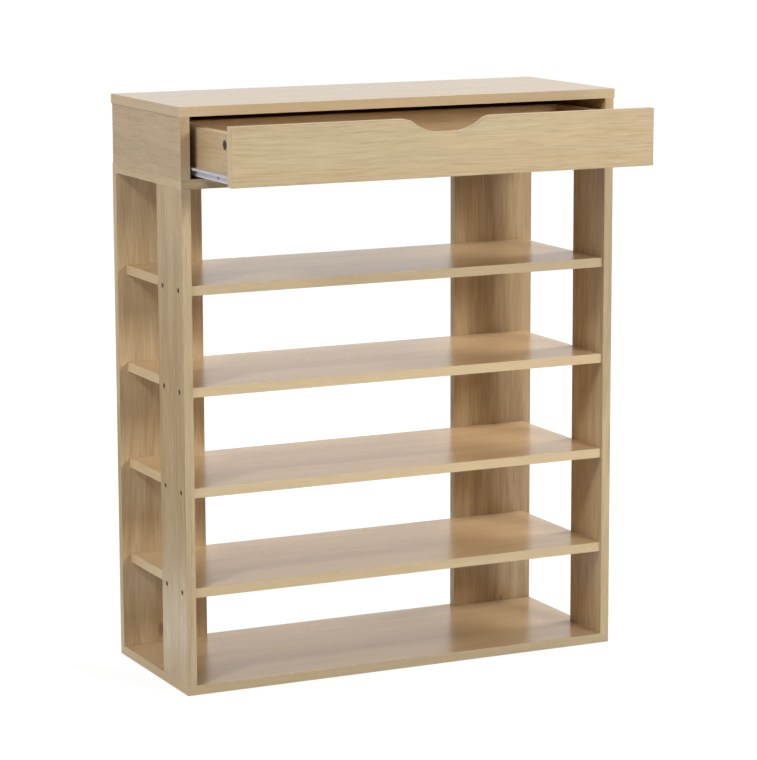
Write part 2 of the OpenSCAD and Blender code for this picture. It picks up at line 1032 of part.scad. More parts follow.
base_panel();
shelf(0);  // shelf_1
shelf(1);  // shelf_2
shelf(2);  // shelf_3
shelf(3);  // shelf_4
front_leg(-1);  // front_leg_left
front_leg(1);  // front_leg_right
rear_leg(-1);  // rear_leg_left
rear_leg(1);  // rear_leg_right
case_floor();
case_side(-1);  // case_side_left
case_side(1);  // case_side_right
top_panel();
case_back();
drawer_front();
drawer_side(-1);  // drawer_side_left
drawer_side(1);  // drawer_side_right
drawer_back();
drawer_bottom();
case_slide(-1);  // case_slide_left
case_slide(1);  // case_slide_right
drawer_slide(-1);  // drawer_slide_left
drawer_slide(1);  // drawer_slide_right
case_roller(-1);  // case_roller_left
case_roller(1);  // case_roller_right
drawer_roller(-1);  // drawer_roller_left
drawer_roller(1);  // drawer_roller_right
case_roller_pins();
drawer_roller_pins();
front_leg_screws();
rear_leg_screws();
base_screws();
case_floor_screws();
case_side_screws();
case_cam_locks();
case_cam_bolts();
case_dowels();
drawer_cam_locks();
drawer_cam_bolts();
drawer_dowels();
drawer_back_screws();
case_slide_screws();
drawer_slide_screws();
back_nails();
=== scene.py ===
# Shoe rack with a drawer: light oak boards, coated roller slides and metal fittings on the CAD frame
import bmesh
import bpy
import math
from mathutils import Matrix, Vector


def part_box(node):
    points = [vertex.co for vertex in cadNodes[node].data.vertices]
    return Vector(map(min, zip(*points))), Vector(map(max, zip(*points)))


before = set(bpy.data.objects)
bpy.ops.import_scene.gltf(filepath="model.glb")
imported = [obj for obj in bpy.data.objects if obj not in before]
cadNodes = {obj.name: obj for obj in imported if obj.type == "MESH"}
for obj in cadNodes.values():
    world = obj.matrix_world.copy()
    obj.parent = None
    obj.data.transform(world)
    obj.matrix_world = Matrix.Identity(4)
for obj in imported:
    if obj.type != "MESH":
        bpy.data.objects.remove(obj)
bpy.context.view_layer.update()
print("frame loaded:", len(cadNodes), "nodes")

cameraView = {
    "place": (-2.1105, -4.4432, 1.3105),  # metres, in the frame of the part
    "looks": (0.4265, 0.8878, -0.1730),
    "roll": -0.18,  # degrees
    "lens": 146.4,  # mm on a sensor 36 mm wide
    "sensor": 36.0,
    "sight": 200.0,  # metres that the camera reaches, past the far side of the floor
}


def aimed(place, direction):  # a camera or lamp that stands at place and looks in the direction
    turn = Vector(direction).to_track_quat("-Z", "Y").to_matrix().to_4x4()
    return Matrix.Translation(place) @ turn


def placeCamera(view):
    data = bpy.data.cameras.new("photoCamera")
    data.sensor_fit = "HORIZONTAL"
    data.sensor_width = view["sensor"]
    data.lens = view["lens"]
    data.clip_end = view["sight"]
    camera = bpy.data.objects.new("photoCamera", data)
    bpy.context.collection.objects.link(camera)
    roll = Matrix.Rotation(math.radians(view["roll"]), 4, "Z")
    camera.matrix_world = aimed(view["place"], view["looks"]) @ roll
    bpy.context.scene.camera = camera


placeCamera(cameraView)
print("camera placed")


# Node helpers

def feed(tree, socket, value):
    if isinstance(value, bpy.types.NodeSocket):
        tree.links.new(value, socket)
    else:
        socket.default_value = value


def addNode(tree, kind, settings=None, inputs=None):
    node = tree.nodes.new(kind)
    for name, value in (settings or {}).items():
        setattr(node, name, value)
    for name, value in (inputs or {}).items():
        feed(tree, node.inputs[name], value)
    return node


def calc(tree, operation, *values):
    inputs = {index: value for index, value in enumerate(values)}
    return addNode(tree, "ShaderNodeMath", {"operation": operation}, inputs).outputs[0]


def times(tree, first, second):
    return calc(tree, "MULTIPLY", first, second)


def timesPlus(tree, first, second, onto):  # onto + first * second
    return calc(tree, "MULTIPLY_ADD", first, second, onto)


def swing(tree, value, amount, onto):  # onto + amount * (value - 0.5)
    return timesPlus(tree, calc(tree, "SUBTRACT", value, 0.5), amount, onto)


def mixColour(tree, mode, factor, first, second):
    settings = {"data_type": "RGBA", "blend_type": mode}
    return addNode(tree, "ShaderNodeMix", settings, {0: factor, 6: first, 7: second}).outputs[2]


def mixValue(tree, factor, first, second):
    inputs = {0: factor, 2: first, 3: second}
    return addNode(tree, "ShaderNodeMix", {"data_type": "FLOAT"}, inputs).outputs[0]


def ramp(tree, value, low, high):  # a smooth step from 0 at low to 1 at high
    settings = {"interpolation_type": "SMOOTHSTEP"}
    return addNode(tree, "ShaderNodeMapRange", settings, {0: value, 1: low, 2: high}).outputs[0]


def noise(tree, place, scale, detail, roughness=0.5):  # scale is in cells a metre, along each axis
    scaled = addNode(tree, "ShaderNodeVectorMath", {"operation": "MULTIPLY"}, {0: place, 1: scale})
    inputs = {"Vector": scaled.outputs[0], "Scale": 1.0, "Detail": detail, "Roughness": roughness}
    return addNode(tree, "ShaderNodeTexNoise", None, inputs).outputs[0]


def separate(tree, vector):
    return addNode(tree, "ShaderNodeSeparateXYZ", None, {0: vector}).outputs


def combine(tree, x, y, z=0.0):
    return addNode(tree, "ShaderNodeCombineXYZ", None, {0: x, 1: y, 2: z}).outputs[0]


def grey(tree, value):
    return addNode(tree, "ShaderNodeCombineColor", None, {0: value, 1: value, 2: value}).outputs[0]


def startGroup(name, inputs, outputs):  # inputs and outputs are given as label: kind of socket
    tree = bpy.data.node_groups.new(name, "ShaderNodeTree")
    for side, sockets in (("INPUT", inputs), ("OUTPUT", outputs)):
        for label, kind in sockets.items():
            tree.interface.new_socket(label, in_out=side, socket_type="NodeSocket" + kind)
    return tree, addNode(tree, "NodeGroupInput").outputs, addNode(tree, "NodeGroupOutput").inputs


def useGroup(tree, group, inputs):
    node = tree.nodes.new("ShaderNodeGroup")
    node.node_tree = group
    for name, value in inputs.items():
        feed(tree, node.inputs[name], value)
    return node.outputs


# Effects that several materials share

faceLayout = {
    "facing": 0.6,  # how far a normal leans along an axis to count as facing it
    "endSeed": 2.3,  # steps of the seed, so that ends, long edges and the two faces differ
    "edgeSeed": 4.1,
    "faceSeed": 0.9,
    "endBand": 0.5,  # share of the edge band's tint on the ends; the long edges have all of it
    "seamStart": (0.0004, 0.0006),  # metres from the edge where the glue line starts and is full
    "seamEnd": (0.0011, 0.0008),  # and where it is gone and starts to fade
}


def buildBoardFaces(layout):
    # Unfolds a board: the decor runs along the grain on faces and long edges, and along the end on ends
    tree, given, result = startGroup(
        "boardFaces",
        {
            "Along": "Float", "Across": "Float", "Through": "Float",
            "Half Along": "Float", "Half Across": "Float", "Half Through": "Float",
            "Facing Along": "Float", "Facing Across": "Float", "Seed": "Float",
        },
        {"Print": "Vector", "Edge": "Float", "Edge Distance": "Float", "Seam": "Float"},
    )
    onEnd = calc(tree, "GREATER_THAN", calc(tree, "ABSOLUTE", given["Facing Along"]), layout["facing"])
    onSide = calc(tree, "GREATER_THAN", calc(tree, "ABSOLUTE", given["Facing Across"]), layout["facing"])
    onEdge = calc(tree, "MAXIMUM", onEnd, onSide)
    onFace = calc(tree, "SUBTRACT", 1.0, onEdge)
    whichFace = times(tree, calc(tree, "SIGN", given["Through"]), onFace)
    along = mixValue(tree, onEnd, given["Along"], given["Across"])
    across = mixValue(tree, onEdge, given["Across"], given["Through"])
    seed = timesPlus(tree, onEnd, layout["endSeed"], given["Seed"])
    seed = timesPlus(tree, onSide, layout["edgeSeed"], seed)
    seed = timesPlus(tree, whichFace, layout["faceSeed"], seed)
    feed(tree, result["Print"], combine(tree, along, across, seed))
    feed(tree, result["Edge"], calc(tree, "MAXIMUM", onSide, times(tree, onEnd, layout["endBand"])))
    # On the surface one of the three gaps is nothing, so the middle one is the distance to the nearest edge
    gaps = [
        calc(tree, "SUBTRACT", given["Half " + side], calc(tree, "ABSOLUTE", given[side]))
        for side in ("Along", "Across", "Through")
    ]
    least = calc(tree, "MINIMUM", gaps[0], calc(tree, "MINIMUM", gaps[1], gaps[2]))
    most = calc(tree, "MAXIMUM", gaps[0], calc(tree, "MAXIMUM", gaps[1], gaps[2]))
    total = calc(tree, "ADD", gaps[0], calc(tree, "ADD", gaps[1], gaps[2]))
    distance = calc(tree, "SUBTRACT", total, calc(tree, "ADD", least, most))
    feed(tree, result["Edge Distance"], distance)
    started = ramp(tree, distance, *layout["seamStart"])
    seam = times(tree, started, ramp(tree, distance, *layout["seamEnd"]))
    feed(tree, result["Seam"], times(tree, seam, onFace))
    return tree


# The layers of the decor: cells a metre along the grain, across it and for a step of the seed, then the
# detail and roughness of the noise
oakLayers = {
    "wander": ((2.6, 8.0, 1.0), 2.0, 0.5),
    "patch": ((1.6, 20.0, 1.0), 1.0, 0.5),
    "band": ((5.0, 74.0, 1.0), 2.0, 0.55),
    "line": ((12.0, 320.0, 1.0), 2.0, 0.6),
    "fine": ((36.0, 1000.0, 1.0), 1.0, 0.5),
    "dash": ((19.0, 380.0, 1.7), 1.0, 0.5),
    "arch": ((1.5, 8.0, 1.0), 1.5, 0.45),
    "archPlace": ((0.8, 6.0, 1.3), 1.0, 0.5),
    "rosy": ((2.1, 27.0, 2.0), 2.0, 0.5),
    "pore": ((42.0, 1250.0, 1.0), 1.0, 0.5),
}

# What the layers do: the tone goes from dark at 0 to light at 1
oakDecor = {
    "tone": 0.55,  # the mean tone
    "wander": 0.035,  # metres that the grain wanders sideways
    "bandTone": 1.15,
    "lineTone": 1.25,
    "fineTone": 0.70,
    "dashRange": (0.57, 0.66),  # of its noise, where a dash starts and is full
    "dashTone": -0.34,
    "archTurns": 62.0,  # radians over the whole range of its noise
    "archRange": (0.42, 0.62),
    "archMiddle": 0.6,
    "archTone": 0.6,
    "rosyRange": (0.42, 0.66),
    "rosyTint": (1.01, 0.982, 0.945, 1),
    "poreRange": (0.60, 0.76),
    "poreTone": 1.25,  # pores are fainter the lighter the tone is, and would be gone at this one
    "poreShade": 0.40,
    "poreRough": 0.10,
    "lineRough": 0.08,
    "rough": 0.04,
    "fineHeight": 0.35,
}

oakKnots = {
    "along": 3.1,  # cells a metre, each with one knot at most
    "across": 9.5,
    "seedStep": 5.7,
    "size": (0.030, 0.014),  # in cells: what chance adds at most, and the least
    "core": (1.3, 0.4),  # in knot sizes from the middle, where the core starts and is full
    "halo": 7.0,
    "bend": 0.008,  # metres that the grain gives way
    "haloShade": 0.22,
    "coreShade": 0.62,
}


def buildOakPrint(layers, decor, knots):
    # Light oak decor: tone patches, bands, lines, dashes, arched figure, pores and a few small knots
    tree, given, result = startGroup(
        "oakPrint",
        {
            "Place": "Vector", "Light": "Color", "Dark": "Color", "Pore": "Color", "Contrast": "Float",
            "Patches": "Float", "Bands": "Float", "Figure": "Float", "Wave": "Float", "Knots": "Float",
        },
        {"Colour": "Color", "Roughness": "Float", "Height": "Float"},
    )
    parts = separate(tree, given["Place"])
    cellAlong = timesPlus(tree, parts["X"], knots["along"], times(tree, parts["Z"], knots["seedStep"]))
    cell = combine(tree, cellAlong, times(tree, parts["Y"], knots["across"]))
    flat = {"voronoi_dimensions": "2D"}
    spots = addNode(tree, "ShaderNodeTexVoronoi", flat, {"Vector": cell, "Scale": 1.0}).outputs
    chance = addNode(tree, "ShaderNodeSeparateColor", None, {0: spots["Color"]}).outputs
    present = calc(tree, "LESS_THAN", chance[0], given["Knots"])
    size = timesPlus(tree, chance[1], *knots["size"])
    coreReach = [times(tree, size, share) for share in knots["core"]]
    core = times(tree, present, ramp(tree, spots["Distance"], *coreReach))
    haloReach = times(tree, size, knots["halo"])
    halo = times(tree, present, ramp(tree, spots["Distance"], haloReach, 0.0))

    wander = calc(tree, "SUBTRACT", noise(tree, given["Place"], *layers["wander"]), 0.5)
    wander = times(tree, wander, times(tree, given["Wave"], decor["wander"]))
    bent = calc(tree, "ADD", parts["Y"], timesPlus(tree, halo, knots["bend"], wander))
    place = combine(tree, parts["X"], bent, parts["Z"])
    line = noise(tree, place, *layers["line"])
    fine = noise(tree, place, *layers["fine"])

    tone = swing(tree, noise(tree, place, *layers["patch"]), given["Patches"], decor["tone"])
    bandTone = times(tree, given["Bands"], decor["bandTone"])
    tone = swing(tree, noise(tree, place, *layers["band"]), bandTone, tone)
    tone = swing(tree, line, times(tree, given["Contrast"], decor["lineTone"]), tone)
    tone = swing(tree, fine, times(tree, given["Contrast"], decor["fineTone"]), tone)
    dashes = ramp(tree, noise(tree, place, *layers["dash"]), *decor["dashRange"])
    tone = timesPlus(tree, dashes, times(tree, given["Contrast"], decor["dashTone"]), tone)
    arch = times(tree, noise(tree, place, *layers["arch"]), decor["archTurns"])
    arch = timesPlus(tree, calc(tree, "SINE", arch), 0.5, 0.5)
    arched = ramp(tree, noise(tree, given["Place"], *layers["archPlace"]), *decor["archRange"])
    arched = times(tree, arched, given["Figure"])
    figure = times(tree, arched, calc(tree, "SUBTRACT", arch, decor["archMiddle"]))
    figure = times(tree, figure, decor["archTone"])
    clamped = {"operation": "ADD", "use_clamp": True}
    tone = addNode(tree, "ShaderNodeMath", clamped, {0: tone, 1: figure}).outputs[0]

    colour = mixColour(tree, "MIX", tone, given["Dark"], given["Light"])
    rosy = ramp(tree, noise(tree, place, *layers["rosy"]), *decor["rosyRange"])
    colour = mixColour(tree, "MULTIPLY", rosy, colour, decor["rosyTint"])
    pores = ramp(tree, noise(tree, place, *layers["pore"]), *decor["poreRange"])
    pores = times(tree, pores, calc(tree, "SUBTRACT", decor["poreTone"], tone))
    pored = times(tree, pores, times(tree, given["Contrast"], decor["poreShade"]))
    colour = mixColour(tree, "MIX", pored, colour, given["Pore"])
    colour = mixColour(tree, "MIX", times(tree, halo, knots["haloShade"]), colour, given["Dark"])
    colour = mixColour(tree, "MIX", times(tree, core, knots["coreShade"]), colour, given["Pore"])
    feed(tree, result["Colour"], colour)
    uneven = timesPlus(tree, pores, decor["poreRough"], swing(tree, line, decor["lineRough"], 0.0))
    feed(tree, result["Roughness"], timesPlus(tree, uneven, given["Contrast"], decor["rough"]))
    feed(tree, result["Height"], timesPlus(tree, pores, -1.0, times(tree, fine, decor["fineHeight"])))
    return tree


wearLook = {
    "noise": ((55.0, 55.0, 55.0), 3.0),  # cells a metre, detail
    "range": (0.40, 0.66),
}


def buildEdgeWear(look):
    # Rubbed edges: 1 on the edge itself, broken up by noise
    tree, given, result = startGroup(
        "edgeWear",
        {"Place": "Vector", "Edge Distance": "Float", "Width": "Float"},
        {"Wear": "Float"},
    )
    near = ramp(tree, given["Edge Distance"], given["Width"], 0.0)
    patches = ramp(tree, noise(tree, given["Place"], *look["noise"]), *look["range"])
    feed(tree, result["Wear"], times(tree, near, patches))
    return tree


tarnishLook = {
    "stain": ((60.0, 60.0, 60.0), 3.0),  # cells a metre, detail
    "drawn": ((1400.0, 9.0, 1400.0), 2.0),  # lines along Y
    "fineDetail": 2.0,
    "shade": 0.95,  # the mean
    "fineShade": 0.16,
    "stainRough": 0.25,
}


def buildTarnish(look):
    # Uneven surface of metal, coating and plastic: fine grain, broad stains and lines drawn along Y
    tree, given, result = startGroup(
        "tarnish",
        {"Place": "Vector", "Grain": "Float", "Stains": "Float", "Lines": "Float"},
        {"Shade": "Color", "Roughness": "Float", "Height": "Float"},
    )
    inputs = {"Vector": given["Place"], "Scale": given["Grain"], "Detail": look["fineDetail"]}
    fine = addNode(tree, "ShaderNodeTexNoise", None, inputs).outputs[0]
    stain = noise(tree, given["Place"], *look["stain"])
    drawn = noise(tree, given["Place"], *look["drawn"])
    shade = swing(tree, stain, given["Stains"], look["shade"])
    shade = swing(tree, fine, look["fineShade"], shade)
    shade = swing(tree, drawn, given["Lines"], shade)
    feed(tree, result["Shade"], grey(tree, shade))
    drawnRough = times(tree, drawn, given["Lines"])
    feed(tree, result["Roughness"], swing(tree, stain, look["stainRough"], drawnRough))
    feed(tree, result["Height"], timesPlus(tree, drawn, given["Lines"], fine))
    return tree


boardFaces = buildBoardFaces(faceLayout)
oakPrint = buildOakPrint(oakLayers, oakDecor, oakKnots)
edgeWear = buildEdgeWear(wearLook)
tarnish = buildTarnish(tarnishLook)
print("shared effects built")


def emptyTree(owner):
    owner.use_nodes = True
    owner.node_tree.nodes.clear()
    return owner.node_tree


def startMaterial(name):
    material = bpy.data.materials.new(name)
    tree = emptyTree(material)
    shader = addNode(tree, "ShaderNodeBsdfPrincipled")
    addNode(tree, "ShaderNodeOutputMaterial", None, {0: shader.outputs[0]})
    return material, tree, shader


def setRelief(tree, shader, strength, depth, height):
    bump = addNode(tree, "ShaderNodeBump", None, {"Strength": strength, "Distance": depth, "Height": height})
    feed(tree, shader.inputs["Normal"], bump.outputs[0])


def setMaterial(piece, material):
    piece.data.materials.clear()
    piece.data.materials.append(material)


edgeFinish = {
    "weld": 0.00001,  # metres between points that become one
    "flat": 1.0,  # degrees between faces that become one
    "sharp": 40.0,  # degrees from which an edge is rounded
}


def softenEdges(piece, width, segments=2):
    weld = piece.modifiers.new("weld", "WELD")
    weld.merge_threshold = edgeFinish["weld"]
    merge = piece.modifiers.new("mergeFlats", "DECIMATE")
    merge.decimate_type = "DISSOLVE"
    merge.angle_limit = math.radians(edgeFinish["flat"])
    bevel = piece.modifiers.new("round", "BEVEL")
    bevel.width = width
    bevel.segments = segments
    bevel.limit_method = "ANGLE"
    bevel.angle_limit = math.radians(edgeFinish["sharp"])
    bevel.harden_normals = True


oakLook = {
    "light": (0.670, 0.500, 0.298, 1),  # decor of the faces
    "dark": (0.440, 0.300, 0.160, 1),
    "bandLight": (0.725, 0.586, 0.370, 1),  # of the edge bands and the drawer front, a little lighter
    "bandDark": (0.549, 0.405, 0.236, 1),
    "pore": (0.170, 0.095, 0.045, 1),
    "worn": (0.72, 0.58, 0.41, 1),
    "wornShare": 0.22,
    "wornRough": 0.15,
    "wearWidth": 0.0012,  # metres from the edge
    "seam": (0.20, 0.13, 0.07, 1),  # glue line where an edge band meets the face
    "seamShare": 0.45,
    "roughness": 0.22,
    "bandRoughness": 0.42,
    "relief": 0.00003,  # depth of the pressed grain, in metres
    "bump": 0.5,
    "round": 0.0004,  # rounding of the boards' edges
}

# The common decor. A board says only where it differs
commonLook = {
    "contrast": 1.0, "bands": 1.0, "patches": 0.8, "figure": 0.4, "wave": 1.0, "knots": 0.0,
    "relief": 1.0,  # share of the full depth
    # painted light: shade makes all faces of a board lighter or darker for the light that falls on that
    # board; the laminate is the same on every board
    "shade": 1.0,  # brightness of the faces, and of the edges where they have no edgePaintedLight
    "sheen": 0.5,
    "yellow": 0.0,  # how far the faces take the edge band's tint
    "edges": 1.0,  # how far the edges take it
}

# The wide level faces are printed with hardly any contrast
calmLook = {
    "contrast": 0.20, "bands": 0.28, "patches": 0.40, "figure": 0.15, "wave": 0.5, "knots": 0.0,
    "relief": 0.3,
}

# Each board: its grain axis and the axis through its thickness, then what differs. All boards are one
# laminate, and their shade and edge shade are painted light: each board is made lighter or darker for the
# light that falls on it
boardLooks = {
    "base_panel": {"grain": "x", "flat": "z", "seed": 3.1, "calm": True, "shade": 1.02, "sheen": 0.42},
    "shelf_1": {"grain": "x", "flat": "z", "seed": 14.2, "calm": True, "shade": 1.17, "sheen": 0.38},
    "shelf_2": {"grain": "x", "flat": "z", "seed": 25.7, "calm": True, "shade": 1.24, "sheen": 0.40},
    "shelf_3": {"grain": "x", "flat": "z", "seed": 36.4, "calm": True, "shade": 1.24, "sheen": 0.40},
    "shelf_4": {"grain": "x", "flat": "z", "seed": 47.9, "calm": True, "shade": 1.04, "sheen": 0.28},
    "front_leg_left": {
        "grain": "z", "flat": "x", "seed": 131.3, "contrast": 0.75, "bands": 0.8, "knots": 0.3,
        "shade": 0.97, "edgePaintedLight": 1.02,
    },
    "front_leg_right": {
        "grain": "z", "flat": "x", "seed": 69.6, "contrast": 0.75, "bands": 0.9, "knots": 0.3,
    },
    "rear_leg_left": {
        "grain": "z", "flat": "y", "seed": 157.8, "contrast": 0.85, "bands": 1.2, "knots": 0.5,
        "yellow": 0.5, "edges": 0.2, "shade": 1.06,
    },
    "rear_leg_right": {
        "grain": "z", "flat": "y", "seed": 118.0, "contrast": 0.8, "bands": 1.2, "patches": 1.8,
        "knots": 0.4, "shade": 0.91,
    },
    "case_floor": {"grain": "x", "flat": "z", "seed": 92.8, "edges": 0.5},
    "case_side_left": {
        "grain": "y", "flat": "x", "seed": 168.8, "contrast": 0.8, "bands": 0.5, "wave": 2.2,
        "shade": 0.96, "sheen": 0.9,
    },
    "case_side_right": {"grain": "y", "flat": "x", "seed": 114.7, "bands": 0.6, "wave": 1.6},
    "top_panel": {
        "grain": "x", "flat": "z", "seed": 125.3, "calm": True, "shade": 0.93, "edgePaintedLight": 1.07,
        "sheen": 0.8,
    },
    "drawer_front": {
        "grain": "x", "flat": "y", "seed": 172.7, "contrast": 0.80, "bands": 0.5, "patches": 0.6,
        "yellow": 1.0, "shade": 1.02,
    },
    "drawer_side_left": {"grain": "y", "flat": "x", "seed": 147.8, "contrast": 0.6, "bands": 0.5},
    "drawer_side_right": {"grain": "y", "flat": "x", "seed": 158.4, "contrast": 0.6, "bands": 0.5},
    # painted light: the back inside the drawer is made much lighter for light that reaches into the drawer
    "drawer_back": {
        "grain": "x", "flat": "y", "seed": 169.9, "contrast": 0.6, "bands": 0.5, "shade": 1.32,
    },
}

axes = "xyz"


def fullLook(look):
    return {**commonLook, **(calmLook if look.get("calm") else {}), **look}


def shaded(colour, shade):
    return [channel * shade for channel in colour[:3]] + [1]


def boardPrint(tree, name, look):  # the unfolded board and its decor
    low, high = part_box(name)
    middle = (low + high) / 2
    half = (high - low) / 2
    grain = axes.index(look["grain"])
    flat = axes.index(look["flat"])
    across = 3 - grain - flat  # the axis that is left of 0, 1 and 2
    coordinates = addNode(tree, "ShaderNodeTexCoord").outputs
    inputs = {0: coordinates["Object"], 1: middle}
    centred = addNode(tree, "ShaderNodeVectorMath", {"operation": "SUBTRACT"}, inputs).outputs[0]
    place = separate(tree, centred)
    facing = separate(tree, coordinates["Normal"])
    faces = useGroup(tree, boardFaces, {
        "Along": place[grain], "Across": place[across], "Through": place[flat],
        "Half Along": half[grain], "Half Across": half[across], "Half Through": half[flat],
        "Facing Along": facing[grain], "Facing Across": facing[across], "Seed": look["seed"],
    })
    yellow = calc(tree, "MAXIMUM", times(tree, faces["Edge"], look["edges"]), look["yellow"])
    # painted light: the faces and edges of this board are made lighter or darker for the light that falls on
    # it
    shade = look["shade"]
    edgePaintedLight = look.get("edgePaintedLight", shade)
    light = [shaded(oakLook["light"], shade), shaded(oakLook["bandLight"], edgePaintedLight)]
    dark = [shaded(oakLook["dark"], shade), shaded(oakLook["bandDark"], edgePaintedLight)]
    wood = useGroup(tree, oakPrint, {
        "Place": faces["Print"], "Pore": oakLook["pore"],
        "Light": mixColour(tree, "MIX", yellow, *light), "Dark": mixColour(tree, "MIX", yellow, *dark),
        "Contrast": look["contrast"], "Bands": look["bands"], "Patches": look["patches"],
        "Figure": look["figure"], "Wave": look["wave"], "Knots": look["knots"],
    })
    return {"centred": centred, "facing": facing[flat], "faces": faces, "wood": wood}


def oakMaterial(name, look):
    material, tree, shader = startMaterial("oak_" + name)
    board = boardPrint(tree, name, look)
    faces = board["faces"]
    wood = board["wood"]
    wear = useGroup(tree, edgeWear, {
        "Place": board["centred"], "Edge Distance": faces["Edge Distance"], "Width": oakLook["wearWidth"],
    })
    seamShare = times(tree, faces["Seam"], oakLook["seamShare"])
    colour = mixColour(tree, "MIX", seamShare, wood["Colour"], oakLook["seam"])
    wornShare = times(tree, wear["Wear"], oakLook["wornShare"])
    feed(tree, shader.inputs["Base Color"], mixColour(tree, "MIX", wornShare, colour, oakLook["worn"]))
    rough = mixValue(tree, faces["Edge"], oakLook["roughness"], oakLook["bandRoughness"])
    rough = timesPlus(tree, wear["Wear"], oakLook["wornRough"], rough)
    feed(tree, shader.inputs["Roughness"], calc(tree, "ADD", wood["Roughness"], rough))
    shader.inputs["Specular IOR Level"].default_value = look["sheen"]
    setRelief(tree, shader, oakLook["bump"], oakLook["relief"] * look["relief"], wood["Height"])
    return material


for boardName, boardLook in boardLooks.items():
    board = cadNodes[boardName]
    setMaterial(board, oakMaterial(boardName, fullLook(boardLook)))
    softenEdges(board, oakLook["round"])
print("boards dressed:", len(boardLooks))

fibreLook = {
    "bare": (0.30, 0.185, 0.095, 1),  # pressed fibre on the hidden side
    "fleck": (0.46, 0.31, 0.17, 1),
    "mesh": ((420.0, 420.0, 420.0), 2.0, 0.7),  # cells a metre, detail and roughness of the noise
    "fibres": ((240.0, 900.0, 900.0), 2.0),
    "fibreRange": (0.50, 0.72),
    "cloud": ((14.0, 14.0, 14.0), 2.0),
    "meshShare": 0.4,  # shares of the fleck colour
    "fibreShare": 0.45,
    "cloudShare": 0.6,
    "roughness": 0.72,
    "meshRough": 0.2,
    "printRough": 0.30,
    "facing": 0.6,  # how far a normal leans to the printed side to count as on it
    "relief": 0.00012,  # metres
    "bump": 0.6,
    "printRelief": 0.2,  # share of the relief on the printed side
    "round": 0.0002,
}

# Thin panels: the print is on the side that faces into the rack, given as an axis and a sign
panelLooks = {
    "case_back": {"grain": "x", "flat": "y", "seed": 180.5, "contrast": 0.7, "printed": -1.0},
    "drawer_bottom": {"grain": "x", "flat": "z", "seed": 191.2, "contrast": 0.7, "printed": 1.0},
}


def panelMaterial(name, look, fibre):
    material, tree, shader = startMaterial("panel_" + name)
    board = boardPrint(tree, name, look)
    wood = board["wood"]
    centred = board["centred"]
    printed = calc(tree, "GREATER_THAN", times(tree, board["facing"], look["printed"]), fibre["facing"])
    mesh = noise(tree, centred, *fibre["mesh"])
    fibres = ramp(tree, noise(tree, centred, *fibre["fibres"]), *fibre["fibreRange"])
    share = timesPlus(tree, fibres, fibre["fibreShare"], times(tree, mesh, fibre["meshShare"]))
    share = swing(tree, noise(tree, centred, *fibre["cloud"]), fibre["cloudShare"], share)
    bare = mixColour(tree, "MIX", share, fibre["bare"], fibre["fleck"])
    feed(tree, shader.inputs["Base Color"], mixColour(tree, "MIX", printed, bare, wood["Colour"]))
    bareRough = swing(tree, mesh, fibre["meshRough"], fibre["roughness"])
    printRough = calc(tree, "ADD", wood["Roughness"], fibre["printRough"])
    feed(tree, shader.inputs["Roughness"], mixValue(tree, printed, bareRough, printRough))
    height = mixValue(tree, printed, mesh, times(tree, wood["Height"], fibre["printRelief"]))
    setRelief(tree, shader, fibre["bump"], fibre["relief"], height)
    return material


for panelName, panelLook in panelLooks.items():
    panel = cadNodes[panelName]
    setMaterial(panel, panelMaterial(panelName, fullLook(panelLook), fibreLook))
    softenEdges(panel, fibreLook["round"], 1)
print("panels dressed:", len(panelLooks))

# Grain is in cells a metre; a fitting with a round has its edges rounded by so many metres
fittingLooks = {
    "zinc": {
        "colour": (0.46, 0.46, 0.48, 1), "metallic": 1.0, "roughness": 0.34,
        "grain": 900.0, "stains": 0.35, "lines": 0.0,
        "nodes": [
            "case_roller_pins", "drawer_roller_pins", "case_cam_bolts", "drawer_cam_bolts",
            "case_slide_screws", "drawer_slide_screws",
        ],
    },
    # painted shade: plated screws and nails, darkened and browned to stand in for the shade in their
    # countersunk recesses
    "screwPaintedShade": {
        "colour": (0.240, 0.170, 0.105, 1), "metallic": 0.6, "roughness": 0.42,
        "grain": 1100.0, "stains": 0.5, "lines": 0.0,
        "nodes": [
            "front_leg_screws", "rear_leg_screws", "base_screws", "case_floor_screws", "case_side_screws",
            "drawer_back_screws", "back_nails",
        ],
    },
    # painted shade: the cam locks are grey cast zinc, and this near-black brown stands in for the shade of
    # the holes they sit in
    "castZincPaintedShade": {
        "colour": (0.110, 0.082, 0.056, 1), "metallic": 0.6, "roughness": 0.50,
        "grain": 1500.0, "stains": 0.6, "lines": 0.0,
        "nodes": ["case_cam_locks", "drawer_cam_locks"],
    },
    "coated": {
        "colour": (0.66, 0.66, 0.71, 1), "metallic": 0.0, "roughness": 0.33,
        "grain": 1300.0, "stains": 0.12, "lines": 0.10, "round": 0.00035,
        "nodes": ["case_slide_left", "case_slide_right", "drawer_slide_left", "drawer_slide_right"],
    },
    "nylon": {
        "colour": (0.72, 0.72, 0.69, 1), "metallic": 0.0, "roughness": 0.48,
        "grain": 700.0, "stains": 0.15, "lines": 0.0,
        "nodes": ["case_roller_left", "case_roller_right", "drawer_roller_left", "drawer_roller_right"],
    },
    "beech": {
        "colour": (0.56, 0.39, 0.21, 1), "metallic": 0.0, "roughness": 0.6,
        "grain": 500.0, "stains": 0.4, "lines": 0.2,
        "nodes": ["case_dowels", "drawer_dowels"],
    },
}

fittingRelief = {
    "depth": 0.00005,  # metres
    "bump": 0.3,
}


